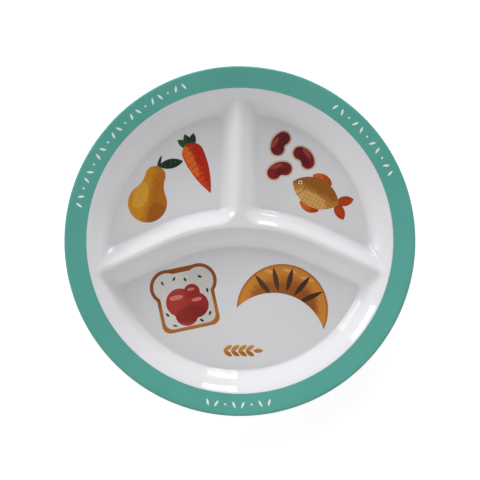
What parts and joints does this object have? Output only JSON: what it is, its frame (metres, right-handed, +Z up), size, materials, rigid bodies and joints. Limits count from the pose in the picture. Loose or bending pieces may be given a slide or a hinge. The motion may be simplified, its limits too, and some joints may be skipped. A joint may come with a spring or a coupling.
{
  "type": "divided compartment plate",
  "caption": "Round moulded melamine plate whose sunken well is split by an arched and a straight rib into food compartments, with a coloured rim band and food pictures fused into the floors",
  "frame": {"origin": "bottom centre: the centre of the foot beads' resting plane under the middle of the rim circle", "axes": "+Z up out of the well; +Y along the straight rib, from the plate's middle towards the two small compartments; +X to the right when the large compartment is nearest the viewer"},
  "size_m": [0.22, 0.22, 0.0208],
  "materials": {
    "white_melamine": "gloss",
    "green_band": "gloss",
    "white_ink": "gloss",
    "pear_fruit_ink": "gloss",
    "pear_leaf_ink": "gloss",
    "carrot_root_ink": "gloss",
    "carrot_top_ink": "gloss",
    "fish_body_ink": "gloss",
    "fish_fin_ink": "gloss",
    "bean_ink": "gloss",
    "bean_edge_ink": "gloss",
    "roll_ink": "gloss",
    "roll_stripe_ink": "gloss",
    "toast_crust_ink": "gloss",
    "toast_crumb_ink": "gloss",
    "toast_jam_ink": "gloss",
    "toast_seed_ink": "gloss",
    "grain_ink": "gloss"
  },
  "bodies": {
    "root": {"plate_body": "white_melamine", "rim_band": "green_band", "rim_marks_left": "white_ink", "rim_marks_right": "white_ink", "rim_marks_bottom": "white_ink", "pear_fruit_print": "pear_fruit_ink", "pear_leaf_print": "pear_leaf_ink", "carrot_root_print": "carrot_root_ink", "carrot_top_print": "carrot_top_ink", "fish_body_print": "fish_body_ink", "fish_fin_print": "fish_fin_ink", "bean_print": "bean_ink", "bean_edge_print": "bean_edge_ink", "roll_print": "roll_ink", "roll_stripe_print": "roll_stripe_ink", "toast_crust_print": "toast_crust_ink", "toast_crumb_print": "toast_crumb_ink", "toast_jam_print": "toast_jam_ink", "toast_seed_print": "toast_seed_ink", "grain_ear_print": "grain_ink"}
  },
  "joints": []
}
